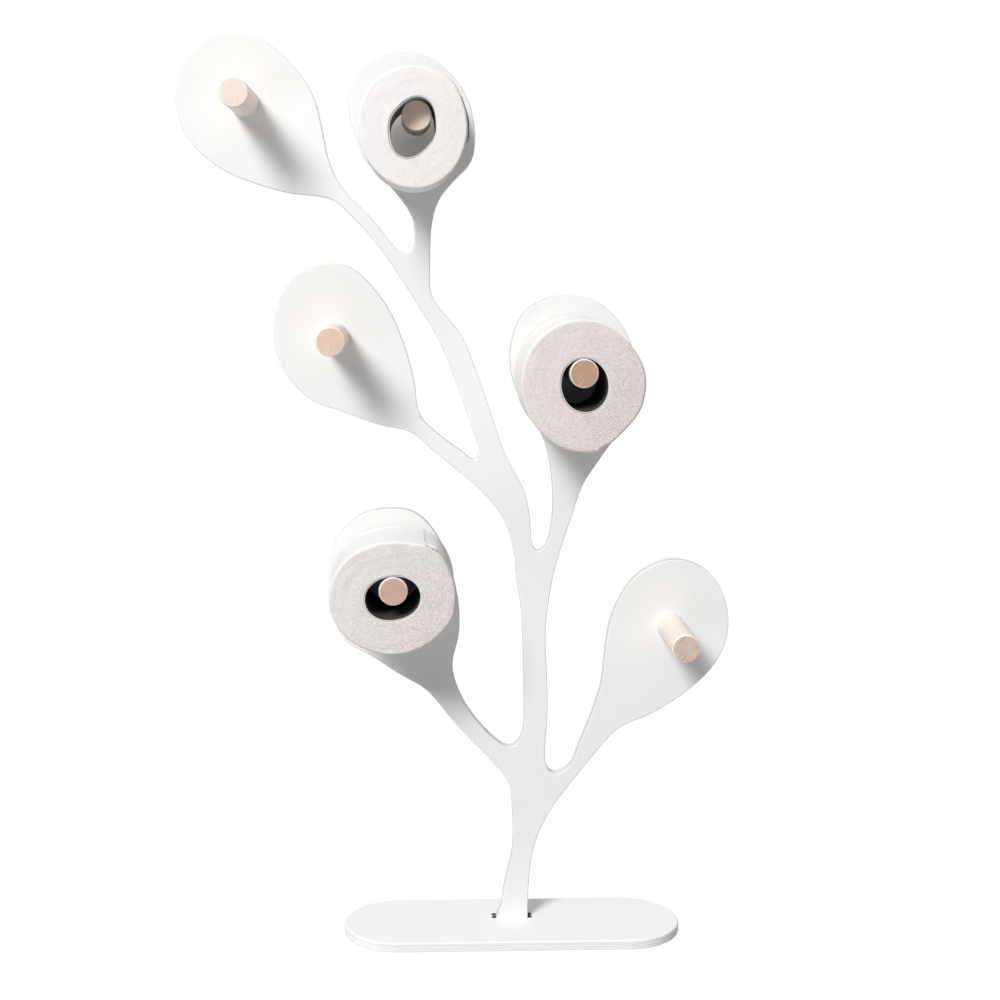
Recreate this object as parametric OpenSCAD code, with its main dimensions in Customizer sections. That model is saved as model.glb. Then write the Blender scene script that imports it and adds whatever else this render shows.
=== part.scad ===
// Free-standing toilet roll holder in the form of a leafy tree.
// A flat plywood tree stands in a slot in a long round-ended base, and six wooden
// pegs point forwards out of its leaves. Three rolls hang on the pegs.
// X is to the viewer's right, Y runs away from the viewer and Z is up.
// The origin is the middle of the base's underside. Lengths are in millimetres.

/* [Tree panel] */
// Width across the widest leaves
tree_w = 500; // [400:5:600]
// Height of the top leaf above the floor
tree_h = 820; // [700:5:1000]
// Thickness of the plywood panel
panel_t = 12; // [9:0.5:18]
// Width of the trunk where it enters the base
foot_w = 30; // [26:0.5:36]
// Straight steps that the curve takes from one outline point to the next
curve_steps = 4; // [2:1:8]

/* [Base] */
// Length of the base from end to end
base_l = 316; // [240:2:420]
// Depth of the base from front to back, and the width of its round ends
base_d = 102; // [84:1:140]
// Thickness of the base
base_t = 9; // [6:0.5:15]
// Distance from the middle of the base back to the middle of the panel
set_back = 9.5; // [0:0.5:20]
// Diameter of the round reliefs in the slot's corners
relief_d = 6; // [4:0.5:8]
// Distance that each relief's centre lies beyond the slot's end
relief_out = 1.2; // [0.5:0.1:2]

/* [Pegs] */
// Diameter of a peg
peg_d = 25; // [20:0.5:27]
// Length of a peg in front of the panel
peg_l = 90; // [70:1:120]
// Bevel round the front end of a peg
peg_bevel = 0.8; // [0.4:0.1:2]

/* [Screws] */
// Shank diameter of the screw behind each peg
screw_d = 4; // [3:0.1:5]
// Length of a screw
screw_l = 35; // [28:1:45]
// Diameter of a countersunk head
head_d = 8; // [7:0.1:10]
// Height of a countersunk head
head_h = 2.6; // [2:0.1:3.5]
// Length of a screw's point
point_l = 5; // [3:0.5:7]
// Width of one arm of the cross recess
recess_w = 1.1; // [0.8:0.1:1.4]
// Distance across the cross recess
recess_l = 4.4; // [3.4:0.1:5.2]
// Depth of the cross recess
recess_h = 1.8; // [1.2:0.1:2.2]

/* [Toilet rolls] */
// Mean inner diameter of the cardboard tube
tube_d = 43; // [40:0.5:46]
// Wall of the cardboard tube
tube_wall = 1.2; // [0.8:0.1:2]
// Least thickness of the inner paper, which stays with the tube
inner_paper_t = 0.8; // [0.6:0.1:2]
// Length of a roll
roll_l = 88; // [80:1:105]
// Mean diameter of the roll at the top middle
top_middle_d = 94; // [80:1:110]
// Mean diameter of the roll at the middle right
middle_right_d = 108; // [80:1:120]
// Mean diameter of the roll at the lower left
lower_left_d = 104; // [80:1:120]
// Distance that the top middle roll is drawn forwards on its peg
top_middle_pull = 20; // [0:1:40]
// Step where the last sheet ends
sheet_step = 0.9; // [0.4:0.1:1.5]
// Points round a roll's outline
roll_points = 120; // [60:12:180]

/* [Fits] */
// Gap round the trunk's foot in its slot
slot_gap = 0.1; // [0.05:0.05:0.3]
// Distance that the foot stops above the base's underside
foot_short = 0.3; // [0.2:0.1:1]
// Gap round a screw in the panel
screw_gap = 0.25; // [0.1:0.05:0.5]
// Gap round a screw's thread in its peg
thread_gap = 0.05; // [0.02:0.01:0.1]
// Distance that a screw's head lies below the panel's back
head_sink = 0.3; // [0.1:0.1:0.6]
// Space ahead of a screw's point in its peg
point_gap = 1; // [0.5:0.5:3]
// Gap between a peg and the tube that hangs on it
hang_gap = 0.3; // [0.2:0.05:0.5]
// Gap between the tube and the paper round it
paper_gap = 0.05; // [0.02:0.01:0.1]
// Space between the panel and a roll that is pushed right back
back_gap = 2; // [1:0.5:4]

/* [Hidden] */
$fn = 96;

// Cuts run past the faces that they open by this much
overrun = 1;

// Places along Y
panel_back = set_back + panel_t / 2;
panel_front = set_back - panel_t / 2;

// The outline climbs the left side, rounds each leaf in turn and comes down the right.
// Each pair is a share of the tree's width from its middle and of its height.
trunk_left_share = [
    [-0.02, 0.027], [-0.016, 0.046], [-0.008, 0.071], [0, 0.095], [0, 0.124],
    [-0.006, 0.166], [-0.02, 0.183], [-0.04, 0.198], [-0.092, 0.232]
];
lower_left_leaf_share = [
    [-0.116, 0.248], [-0.162, 0.282], [-0.212, 0.301], [-0.264, 0.322],
    [-0.312, 0.34], [-0.338, 0.372], [-0.344, 0.404], [-0.336, 0.449],
    [-0.286, 0.483], [-0.226, 0.491], [-0.18, 0.484], [-0.144, 0.459],
    [-0.122, 0.427], [-0.106, 0.388], [-0.104, 0.349], [-0.116, 0.312], [-0.1, 0.276],
    [-0.066, 0.244], [-0.026, 0.22], [-0.002, 0.217], [0.016, 0.232]
];
left_branch_share = [
    [0.018, 0.262], [0.016, 0.311], [0.012, 0.366], [0.002, 0.409], [-0.004, 0.441],
    [-0.024, 0.479], [-0.066, 0.511], [-0.116, 0.537], [-0.16, 0.559]
];
middle_left_leaf_share = [
    [-0.194, 0.576], [-0.256, 0.585], [-0.32, 0.599], [-0.372, 0.611], [-0.41, 0.634],
    [-0.434, 0.662], [-0.438, 0.693], [-0.424, 0.728], [-0.386, 0.752],
    [-0.336, 0.76], [-0.29, 0.751], [-0.24, 0.717], [-0.208, 0.676], [-0.188, 0.633],
    [-0.178, 0.596], [-0.144, 0.574], [-0.104, 0.556], [-0.08, 0.546], [-0.07, 0.556]
];
top_branch_share = [
    [-0.086, 0.585], [-0.11, 0.627], [-0.14, 0.673], [-0.176, 0.71], [-0.214, 0.746],
    [-0.254, 0.78], [-0.302, 0.812]
];
top_left_leaf_share = [
    [-0.34, 0.829], [-0.408, 0.834], [-0.464, 0.843], [-0.516, 0.855],
    [-0.564, 0.876], [-0.594, 0.902], [-0.604, 0.937], [-0.584, 0.973],
    [-0.544, 0.994], [-0.5, 1], [-0.45, 0.993], [-0.4, 0.967], [-0.366, 0.937],
    [-0.35, 0.9], [-0.338, 0.867], [-0.314, 0.839], [-0.268, 0.811], [-0.23, 0.783],
    [-0.216, 0.774], [-0.198, 0.772], [-0.188, 0.782]
];
top_middle_leaf_share = [
    [-0.19, 0.805], [-0.206, 0.824], [-0.242, 0.85], [-0.276, 0.871], [-0.292, 0.895],
    [-0.304, 0.927], [-0.292, 0.959], [-0.256, 0.978], [-0.21, 0.985], [-0.168, 0.98],
    [-0.124, 0.961], [-0.094, 0.934], [-0.082, 0.9], [-0.088, 0.87], [-0.12, 0.848],
    [-0.146, 0.827], [-0.158, 0.799], [-0.16, 0.762], [-0.158, 0.729]
];
right_branch_share = [
    [-0.138, 0.709], [-0.102, 0.682], [-0.076, 0.644], [-0.05, 0.6], [-0.022, 0.552],
    [0.012, 0.513], [0.024, 0.483], [0.028, 0.454], [0.04, 0.443], [0.056, 0.452],
    [0.064, 0.473]
];
middle_right_leaf_share = [
    [0.066, 0.507], [0.058, 0.548], [0.04, 0.578], [0.006, 0.611], [-0.012, 0.64],
    [-0.014, 0.673], [0.006, 0.706], [0.046, 0.723], [0.096, 0.728], [0.144, 0.72],
    [0.186, 0.696], [0.208, 0.665], [0.208, 0.624], [0.188, 0.582], [0.15, 0.546],
    [0.12, 0.517], [0.1, 0.48], [0.08, 0.441]
];
lower_branch_share = [
    [0.066, 0.405], [0.056, 0.35], [0.06, 0.299], [0.062, 0.254], [0.058, 0.211],
    [0.064, 0.19], [0.082, 0.184], [0.108, 0.195], [0.122, 0.217], [0.146, 0.256]
];
lower_right_leaf_share = [
    [0.162, 0.29], [0.168, 0.327], [0.178, 0.366], [0.208, 0.404], [0.246, 0.424],
    [0.292, 0.433], [0.34, 0.426], [0.376, 0.406], [0.396, 0.373], [0.394, 0.339],
    [0.368, 0.307], [0.316, 0.277], [0.256, 0.254], [0.196, 0.237]
];
trunk_right_share = [
    [0.154, 0.209], [0.112, 0.176], [0.076, 0.146], [0.052, 0.118], [0.038, 0.091],
    [0.032, 0.061], [0.03, 0.034]
];

// Each peg's place as shares of the tree's width and height
peg_share = [
    [-0.486, 0.929], [-0.186, 0.909], [-0.33, 0.681],
    [0.1, 0.65], [-0.224, 0.42], [0.288, 0.357]
];
top_left = 0;
top_middle = 1;
middle_left = 2;
middle_right = 3;
lower_left = 4;
lower_right = 5;

// The rolls hang on these pegs. Each list below has one value for each roll.
roll_peg = [top_middle, middle_right, lower_left];
top_roll = 0;
right_roll = 1;
left_roll = 2;
roll_d = [top_middle_d, middle_right_d, lower_left_d];
roll_pull = [top_middle_pull, 0, 0];

// A roll hangs a little to one side of straight down, in degrees
hang_lean = [-15, 4, -4];

// How far its tube is squashed, as a share of the tube's radius, and the angle of
// the tube's long way, in degrees up from the right
tube_squash_share = [0.137, 0.065, 0.12];
tube_long_way = [70, 100, 5];

// How far its outside is squashed, as a share of its radius
roll_oval_share = [0.051, 0.031, -0.054];
roll_lobe_share = 0.008;
oval_lean = 6;
lobe_lean = 40;

// Where its last sheet ends, in degrees up from the right
roll_tail = [349, 287, 58];

// One point of the smooth curve from b to c, with a before b and d after c
function curve_point(a, b, c, d, t) =
    (2 * b + (c - a) * t + (2 * a - 5 * b + 4 * c - d) * pow(t, 2)
        + (3 * b - a - 3 * c + d) * pow(t, 3)) / 2;

// The curve through all the points, from the first to the last
function smooth_curve(points, last) = [
    for (i = [0 : last - 1])
        for (step = [0 : curve_steps - 1])
            curve_point(
                points[max(i - 1, 0)], points[i],
                points[i + 1], points[min(i + 2, last)], step / curve_steps
            ),
    points[last]
];

function tree_points() = [
    for (share = concat(
        trunk_left_share, lower_left_leaf_share, left_branch_share,
        middle_left_leaf_share, top_branch_share, top_left_leaf_share,
        top_middle_leaf_share, right_branch_share, middle_right_leaf_share,
        lower_branch_share, lower_right_leaf_share, trunk_right_share
    )) [share[0] * tree_w, share[1] * tree_h]
];

// The whole outline, with the foot's straight sides below the top of the base
function tree_outline() =
    let (
        points = concat(
            [[-foot_w / 2, base_t]], tree_points(), [[foot_w / 2, base_t]]
        )
    )
    concat(
        [[-foot_w / 2, foot_short]],
        smooth_curve(points, len(points) - 1),
        [[foot_w / 2, foot_short]]
    );

function peg_place(peg) = [peg_share[peg][0] * tree_w, 0, peg_share[peg][1] * tree_h];

// Turns a shape that points up so that it points at the viewer
module forwards(y) {
    translate([0, y, 0]) rotate([90, 0, 0]) children();
}

module at_peg(peg, y) {
    translate(peg_place(peg)) forwards(y) children();
}

// A screw and the hole that takes it are one profile, the hole larger by its gap
module screw_shape(gap, length) {
    rotate_extrude() polygon([
        [0, -gap], [head_d / 2 + gap, -gap], [head_d / 2 + gap, 0],
        [screw_d / 2 + gap, head_h], [screw_d / 2 + gap, length - point_l],
        [0, length]
    ]);
}

module tree_panel() {
    color("whitesmoke")
    difference() {
        forwards(panel_back) linear_extrude(panel_t) polygon(tree_outline());
        for (peg = [top_left : lower_right])
            at_peg(peg, panel_back - head_sink) {
                screw_shape(screw_gap, screw_l + panel_t);
                translate([0, 0, -head_sink - overrun])
                    cylinder(r = head_d / 2 + screw_gap, h = head_sink + overrun);
            }
    }
}

module base_plate() {
    slot_l = foot_w + 2 * slot_gap;
    slot_d = panel_t + 2 * slot_gap;
    color("whitesmoke")
    difference() {
        union() {
            translate([-(base_l - base_d) / 2, -base_d / 2, 0])
                cube([base_l - base_d, base_d, base_t]);
            for (side = [-1, 1])
                translate([side * (base_l - base_d) / 2, 0, 0])
                    cylinder(d = base_d, h = base_t);
        }
        translate([-slot_l / 2, set_back - slot_d / 2, -overrun])
            cube([slot_l, slot_d, base_t + 2 * overrun]);
        for (side = [-1, 1])
            for (edge = [-1, 1])
                translate([
                    side * (slot_l / 2 + relief_out),
                    set_back + edge * (slot_d - relief_d) / 2, -overrun
                ])
                    cylinder(d = relief_d, h = base_t + 2 * overrun);
    }
}

module peg(peg) {
    pilot_l = screw_l + head_sink - panel_t + point_gap;
    color("burlywood")
    difference() {
        at_peg(peg, panel_front)
            rotate_extrude() polygon([
                [0, 0], [peg_d / 2, 0], [peg_d / 2, peg_l - peg_bevel],
                [peg_d / 2 - peg_bevel, peg_l], [0, peg_l]
            ]);
        at_peg(peg, panel_front + overrun)
            cylinder(d = screw_d + 2 * thread_gap, h = pilot_l + overrun);
    }
}

module peg_screws() {
    color("silver")
    for (peg = [top_left : lower_right])
        at_peg(peg, panel_back - head_sink)
            difference() {
                screw_shape(0, screw_l);
                for (turn = [0, 90])
                    rotate(turn)
                        translate([-recess_l / 2, -recess_w / 2, -overrun])
                            cube([recess_l, recess_w, recess_h + overrun]);
            }
}

// Inner radius of a roll's tube, which is squashed a little
function tube_r(roll, angle) =
    tube_d / 2 * (1
        + tube_squash_share[roll] * cos(2 * (angle - tube_long_way[roll])));

// Radius of a roll's outline: slightly oval, slightly lobed, with the last sheet's step
function roll_r(roll, angle) =
    roll_d[roll] / 2 * (1 - roll_oval_share[roll] * cos(2 * (angle - oval_lean))
        + roll_lobe_share * cos(3 * (angle - lobe_lean)))
    + sheet_step * (1 - (angle - roll_tail[roll] + 360) % 360 / 360);

// The outer paper turns on the inner paper where the two meet in a circle
turn_r = tube_d / 2 * (1 + max(tube_squash_share))
    + tube_wall + paper_gap + inner_paper_t;

// Places a roll's shape: it hangs from its peg by the top of its tube
module hung_on_peg(roll) {
    drop = tube_r(roll, 90 + hang_lean[roll]) - peg_d / 2 - hang_gap;
    translate([drop * sin(hang_lean[roll]), 0, -drop * cos(hang_lean[roll])])
        at_peg(roll_peg[roll], panel_front - back_gap - roll_pull[roll])
            children();
}

// A solid along a roll, grown outwards from the inside of its tube. A cut runs past
// the roll's ends.
module tube_core(roll, grow, past) {
    translate([0, 0, -past]) linear_extrude(roll_l + 2 * past) polygon([
        for (i = [0 : roll_points - 1])
            let (angle = 360 * i / roll_points)
            (tube_r(roll, angle) + grow) * [cos(angle), sin(angle)]
    ]);
}

module tube(roll) {
    color("tan")
    hung_on_peg(roll)
        difference() {
            tube_core(roll, tube_wall, 0);
            tube_core(roll, 0, overrun);
        }
}

module inner_paper(roll) {
    color("white")
    hung_on_peg(roll)
        difference() {
            cylinder(r = turn_r, h = roll_l);
            tube_core(roll, tube_wall + paper_gap, overrun);
        }
}

module outer_paper(roll) {
    color("white")
    hung_on_peg(roll)
        difference() {
            linear_extrude(roll_l) polygon([
                for (i = [0 : roll_points - 1])
                    let (angle = roll_tail[roll] + 360 * i / roll_points)
                    roll_r(roll, angle) * [cos(angle), sin(angle)]
            ]);
            translate([0, 0, -overrun])
                cylinder(r = turn_r + paper_gap, h = roll_l + 2 * overrun);
        }
}

module tube_top_middle() {
    tube(top_roll);
}

module tube_middle_right() {
    tube(right_roll);
}

module tube_lower_left() {
    tube(left_roll);
}

module inner_paper_top_middle() {
    inner_paper(top_roll);
}

module inner_paper_middle_right() {
    inner_paper(right_roll);
}

module inner_paper_lower_left() {
    inner_paper(left_roll);
}

module roll_top_middle() {
    outer_paper(top_roll);
}

module roll_middle_right() {
    outer_paper(right_roll);
}

module roll_lower_left() {
    outer_paper(left_roll);
}

tree_panel();
base_plate();
peg(top_left);  // peg_top_left
peg(top_middle);  // peg_top_middle
peg(middle_left);  // peg_middle_left
peg(middle_right);  // peg_middle_right
peg(lower_left);  // peg_lower_left
peg(lower_right);  // peg_lower_right
peg_screws();
tube_top_middle();
tube_middle_right();
tube_lower_left();
inner_paper_top_middle();
inner_paper_middle_right();
inner_paper_lower_left();
roll_top_middle();
roll_middle_right();
roll_lower_left();
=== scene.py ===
import math

import bmesh
import bpy
from mathutils import Matrix, Vector, noise


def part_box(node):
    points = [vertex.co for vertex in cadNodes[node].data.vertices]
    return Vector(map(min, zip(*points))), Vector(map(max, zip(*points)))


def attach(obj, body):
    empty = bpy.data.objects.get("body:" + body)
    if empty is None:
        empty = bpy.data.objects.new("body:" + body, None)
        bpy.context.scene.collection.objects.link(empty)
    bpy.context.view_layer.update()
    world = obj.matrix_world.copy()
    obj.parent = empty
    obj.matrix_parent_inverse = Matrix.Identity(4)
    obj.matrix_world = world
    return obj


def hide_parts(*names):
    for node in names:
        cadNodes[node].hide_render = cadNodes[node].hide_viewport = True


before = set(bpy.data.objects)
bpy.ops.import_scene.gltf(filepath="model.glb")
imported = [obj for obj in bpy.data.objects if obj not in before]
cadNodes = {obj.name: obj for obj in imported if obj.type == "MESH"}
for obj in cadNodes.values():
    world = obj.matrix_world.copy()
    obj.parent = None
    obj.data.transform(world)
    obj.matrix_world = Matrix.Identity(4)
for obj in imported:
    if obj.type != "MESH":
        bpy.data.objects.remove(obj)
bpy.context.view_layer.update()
scene = bpy.context.scene
scene.view_settings.view_transform = "Standard"
print("frame loaded:", len(cadNodes), "nodes")
# Heights and distances that differ by less than this are the same
sameSpot = 0.00002


def clearSelection():
    bpy.ops.object.select_all(action="DESELECT")


def makeActive(piece):
    clearSelection()
    piece.select_set(True)
    bpy.context.view_layer.objects.active = piece


def startEditing(piece):
    makeActive(piece)
    bpy.ops.object.mode_set(mode="EDIT")


def stopEditing():
    bpy.ops.object.mode_set(mode="OBJECT")


def selectEdges(piece, wanted):
    # Selects the edges for which wanted says yes
    bpy.ops.mesh.select_mode(type="EDGE")
    bpy.ops.mesh.select_all(action="DESELECT")
    mesh = bmesh.from_edit_mesh(piece.data)
    for edge in mesh.edges:
        if wanted(edge):
            edge.select_set(True)
    bmesh.update_edit_mesh(piece.data)


def selectFaces(piece, wanted):
    # Selects the faces for which wanted says yes
    bpy.ops.mesh.select_mode(type="FACE")
    bpy.ops.mesh.select_all(action="DESELECT")
    mesh = bmesh.from_edit_mesh(piece.data)
    mesh.normal_update()
    for face in mesh.faces:
        if wanted(face):
            face.select_set(True)
    bmesh.update_edit_mesh(piece.data)


def middleOf(edge):
    return (edge.verts[0].co + edge.verts[1].co) / 2


def isCorner(edge):
    # Leaves out the edges that only divide a flat face
    return len(edge.link_faces) == 2 and edge.calc_face_angle() > math.radians(30)


def easeEdges(width, segments):
    bpy.ops.mesh.bevel(offset=width, segments=segments, affect="EDGES")


def forwardCylinder(name, sides, radius, depth, centre, ends="NGON"):
    # A cylinder whose axis points at the viewer
    clearSelection()
    bpy.ops.mesh.primitive_cylinder_add(
        vertices=sides, radius=radius, depth=depth, end_fill_type=ends,
        location=centre, rotation=(math.radians(90), 0, 0),
    )
    piece = bpy.context.object
    piece.name = name
    piece.data.name = name
    bpy.ops.object.transform_apply(location=True, rotation=True, scale=True)
    return piece


def applyModifier(piece, kind, **settings):
    makeActive(piece)
    modifier = piece.modifiers.new(kind.title(), kind)
    for name, value in settings.items():
        setattr(modifier, name, value)
    bpy.ops.object.modifier_apply(modifier=modifier.name)


def smoothSkin(piece, degrees):
    # Large flat faces keep their own normals, so that the rounded edges shade cleanly
    makeActive(piece)
    bpy.ops.object.shade_smooth_by_angle(angle=math.radians(degrees))
    applyModifier(piece, "WEIGHTED_NORMAL", keep_sharp=True)


def dress(piece, material):
    piece.data.materials.clear()
    piece.data.materials.append(material)


def copyOfNode(node, name):
    # A CAD node's triangles as one clean skin, in a piece of its own
    piece = bpy.data.objects.new(name, cadNodes[node].data.copy())
    piece.data.name = name
    scene.collection.objects.link(piece)
    startEditing(piece)
    bpy.ops.mesh.customdata_custom_splitnormals_clear()
    bpy.ops.mesh.select_all(action="SELECT")
    bpy.ops.mesh.remove_doubles(threshold=0.00001)
    bpy.ops.mesh.dissolve_limited(angle_limit=math.radians(0.1))
    stopEditing()
    return piece


def nameWith(start, key):
    return start + "".join(word.title() for word in key.split("_"))


def roundFrom(centre, point):
    # A point's direction round a peg's or a roll's axis, in degrees, and its distance
    across, up = point.x - centre.x, point.z - centre.z
    return math.degrees(math.atan2(up, across)), math.hypot(across, up)


def tinted(colour, shares, most=1.0):
    return [min(part * share, most) for part, share in zip(colour[:3], shares)] + [1.0]


def newMaterial(name):
    material = bpy.data.materials.new(name)
    material.use_nodes = True
    tree = material.node_tree
    return material, tree, tree.nodes["Principled BSDF"]


def addNode(tree, kind, values=None, **settings):
    made = tree.nodes.new("ShaderNode" + kind)
    for name, value in settings.items():
        setattr(made, name, value)
    for name, value in (values or {}).items():
        made.inputs[name].default_value = value
    return made


def join(tree, start, end):
    tree.links.new(start, end)


def maths(tree, kind, first, second=0.0):
    # One Math node; each side is a number or another node's output
    made = addNode(tree, "Math", operation=kind)
    for socket, side in zip(made.inputs, (first, second)):
        if isinstance(side, (int, float)):
            socket.default_value = side
        else:
            join(tree, side, socket)
    return made.outputs[0]


def rangeOf(tree, value, start, end, low=0.0, high=1.0):
    made = addNode(tree, "MapRange", {
        "From Min": start, "From Max": end, "To Min": low, "To Max": high
    })
    join(tree, value, made.inputs["Value"])
    return made.outputs[0]


def mixColours(tree, share, first, second):
    made = addNode(tree, "Mix", data_type="RGBA")
    for socket, side in zip((made.inputs[0], made.inputs[6], made.inputs[7]),
                            (share, first, second)):
        if isinstance(side, bpy.types.NodeSocket):
            join(tree, side, socket)
        else:
            socket.default_value = side
    return made.outputs[2]


def stretchedNoise(tree, vector, stretch, scale, detail=3.0, rough=0.55, twist=0.0):
    mapping = addNode(tree, "Mapping", {"Scale": stretch})
    join(tree, vector, mapping.inputs["Vector"])
    made = addNode(tree, "TexNoise", {
        "Scale": scale, "Detail": detail, "Roughness": rough, "Distortion": twist
    })
    join(tree, mapping.outputs[0], made.inputs["Vector"])
    return made.outputs[0]


def newGroup(name, inputs, outputs):
    tree = bpy.data.node_groups.new(name, "ShaderNodeTree")
    for word, kind in inputs:
        tree.interface.new_socket(word, in_out="INPUT", socket_type="NodeSocket" + kind)
    for word, kind in outputs:
        tree.interface.new_socket(word, in_out="OUTPUT", socket_type="NodeSocket" + kind)
    start = tree.nodes.new("NodeGroupInput")
    end = tree.nodes.new("NodeGroupOutput")
    return tree, start.outputs, end.inputs


def placeGroup(tree, group, values, links):
    made = tree.nodes.new("ShaderNodeGroup")
    made.node_tree = group
    for name, value in values.items():
        made.inputs[name].default_value = value
    for name, socket in links.items():
        join(tree, socket, made.inputs[name])
    return made.outputs


def centredPlace(tree, centre):
    # Object coordinates measured from a piece's own middle
    place = addNode(tree, "TexCoord")
    mapping = addNode(tree, "Mapping", {"Location": [-part for part in centre]})
    join(tree, place.outputs["Object"], mapping.inputs["Vector"])
    return mapping.outputs[0], place.outputs["Normal"]


def facingAlong(tree, normal, axis):
    # 1 where a face looks along the axis, 0 where it looks across it
    parts = addNode(tree, "SeparateXYZ")
    join(tree, normal, parts.inputs[0])
    return maths(tree, "ABSOLUTE", parts.outputs[axis])


def bumpInto(tree, shader, height, strength, distance):
    bump = addNode(tree, "Bump", {"Strength": strength, "Distance": distance})
    join(tree, height, bump.inputs["Height"])
    join(tree, bump.outputs[0], shader.inputs["Normal"])


# Paint over plywood: roller stipple and a little raised grain
def buildPaintSkin():
    tree, given, result = newGroup(
        "paint skin",
        [("Vector", "Vector"), ("Stipple", "Float"), ("Grain", "Float")],
        [("Height", "Float"), ("Cloud", "Float")],
    )
    stipple = addNode(tree, "TexNoise", {"Detail": 2.0, "Roughness": 0.5})
    join(tree, given["Vector"], stipple.inputs["Vector"])
    join(tree, given["Stipple"], stipple.inputs["Scale"])
    along = addNode(tree, "Mapping", {"Scale": (1.0, 1.0, 0.05)})
    join(tree, given["Vector"], along.inputs["Vector"])
    grain = addNode(tree, "TexNoise", {"Detail": 4.0, "Roughness": 0.6, "Distortion": 0.3})
    join(tree, along.outputs[0], grain.inputs["Vector"])
    join(tree, given["Grain"], grain.inputs["Scale"])
    fine = maths(tree, "MULTIPLY", stipple.outputs[0], 0.45)
    coarse = maths(tree, "MULTIPLY", grain.outputs[0], 0.55)
    join(tree, maths(tree, "ADD", fine, coarse), result["Height"])
    join(tree, stretchedNoise(tree, given["Vector"], (1, 1, 1), 7.0, 2.0), result["Cloud"])
    return tree


# The layers of the plywood, which show faintly on its cut edges
def buildPlyEdge():
    tree, given, result = newGroup(
        "ply edge",
        [("Vector", "Vector"), ("Depth", "Float"), ("Ply", "Float")],
        [("Line", "Float"), ("Height", "Float")],
    )
    wobble = stretchedNoise(tree, given["Vector"], (1, 1, 1), 60.0, 2.0)
    layers = maths(tree, "DIVIDE", given["Depth"], given["Ply"])
    layers = maths(tree, "ADD", layers, maths(tree, "MULTIPLY", wobble, 0.12))
    inLayer = maths(tree, "FRACT", layers)
    off = maths(tree, "ABSOLUTE", maths(tree, "SUBTRACT", inLayer, 0.5))
    line = rangeOf(tree, off, 0.4, 0.49)
    join(tree, line, result["Line"])
    pores = stretchedNoise(tree, given["Vector"], (1, 1, 1), 900.0, 3.0)
    lowered = maths(tree, "SUBTRACT", maths(tree, "MULTIPLY", pores, 0.5), line)
    join(tree, lowered, result["Height"])
    return tree


# Beech: streaks and flecks along a peg, growth rings and pores on its end
def buildBeechGrain():
    tree, given, result = newGroup(
        "beech grain",
        [("Vector", "Vector"), ("Pith", "Vector"), ("Saw", "Float")],
        [("Streak", "Float"), ("Fleck", "Float"), ("Ring", "Float"), ("Pore", "Float"),
         ("Scratch", "Float")],
    )
    place = given["Vector"]
    join(tree, stretchedNoise(tree, place, (1, 0.03, 1), 420.0, 4.0, 0.6, 0.4),
         result["Streak"])
    flecks = stretchedNoise(tree, place, (1, 0.12, 1), 1500.0, 2.0)
    join(tree, rangeOf(tree, flecks, 0.62, 0.7), result["Fleck"])
    moved = addNode(tree, "VectorMath", operation="SUBTRACT")
    join(tree, place, moved.inputs[0])
    join(tree, given["Pith"], moved.inputs[1])
    parts = addNode(tree, "SeparateXYZ")
    join(tree, moved.outputs[0], parts.inputs[0])
    square = maths(tree, "ADD", maths(tree, "MULTIPLY", parts.outputs[0], parts.outputs[0]),
                   maths(tree, "MULTIPLY", parts.outputs[2], parts.outputs[2]))
    away = maths(tree, "SQRT", square)
    drift = stretchedNoise(tree, place, (1, 1, 1), 120.0, 2.0)
    turns = maths(tree, "ADD", maths(tree, "MULTIPLY", away, 2600.0),
                  maths(tree, "MULTIPLY", drift, 9.0))
    ring = rangeOf(tree, maths(tree, "SINE", turns), -1.0, 1.0)
    join(tree, ring, result["Ring"])
    pores = stretchedNoise(tree, place, (1, 0.2, 1), 2600.0, 2.0)
    join(tree, rangeOf(tree, pores, 0.56, 0.7), result["Pore"])
    slanted = addNode(tree, "VectorRotate", rotation_type="Y_AXIS")
    join(tree, place, slanted.inputs["Vector"])
    join(tree, given["Saw"], slanted.inputs["Angle"])
    marks = stretchedNoise(tree, slanted.outputs[0], (0.025, 1, 1), 2400.0, 1.0)
    where = stretchedNoise(tree, place, (1, 1, 1), 160.0, 1.0)
    scratch = maths(tree, "MULTIPLY", rangeOf(tree, marks, 0.58, 0.64),
                    rangeOf(tree, where, 0.4, 0.52))
    join(tree, scratch, result["Scratch"])
    return tree


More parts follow.
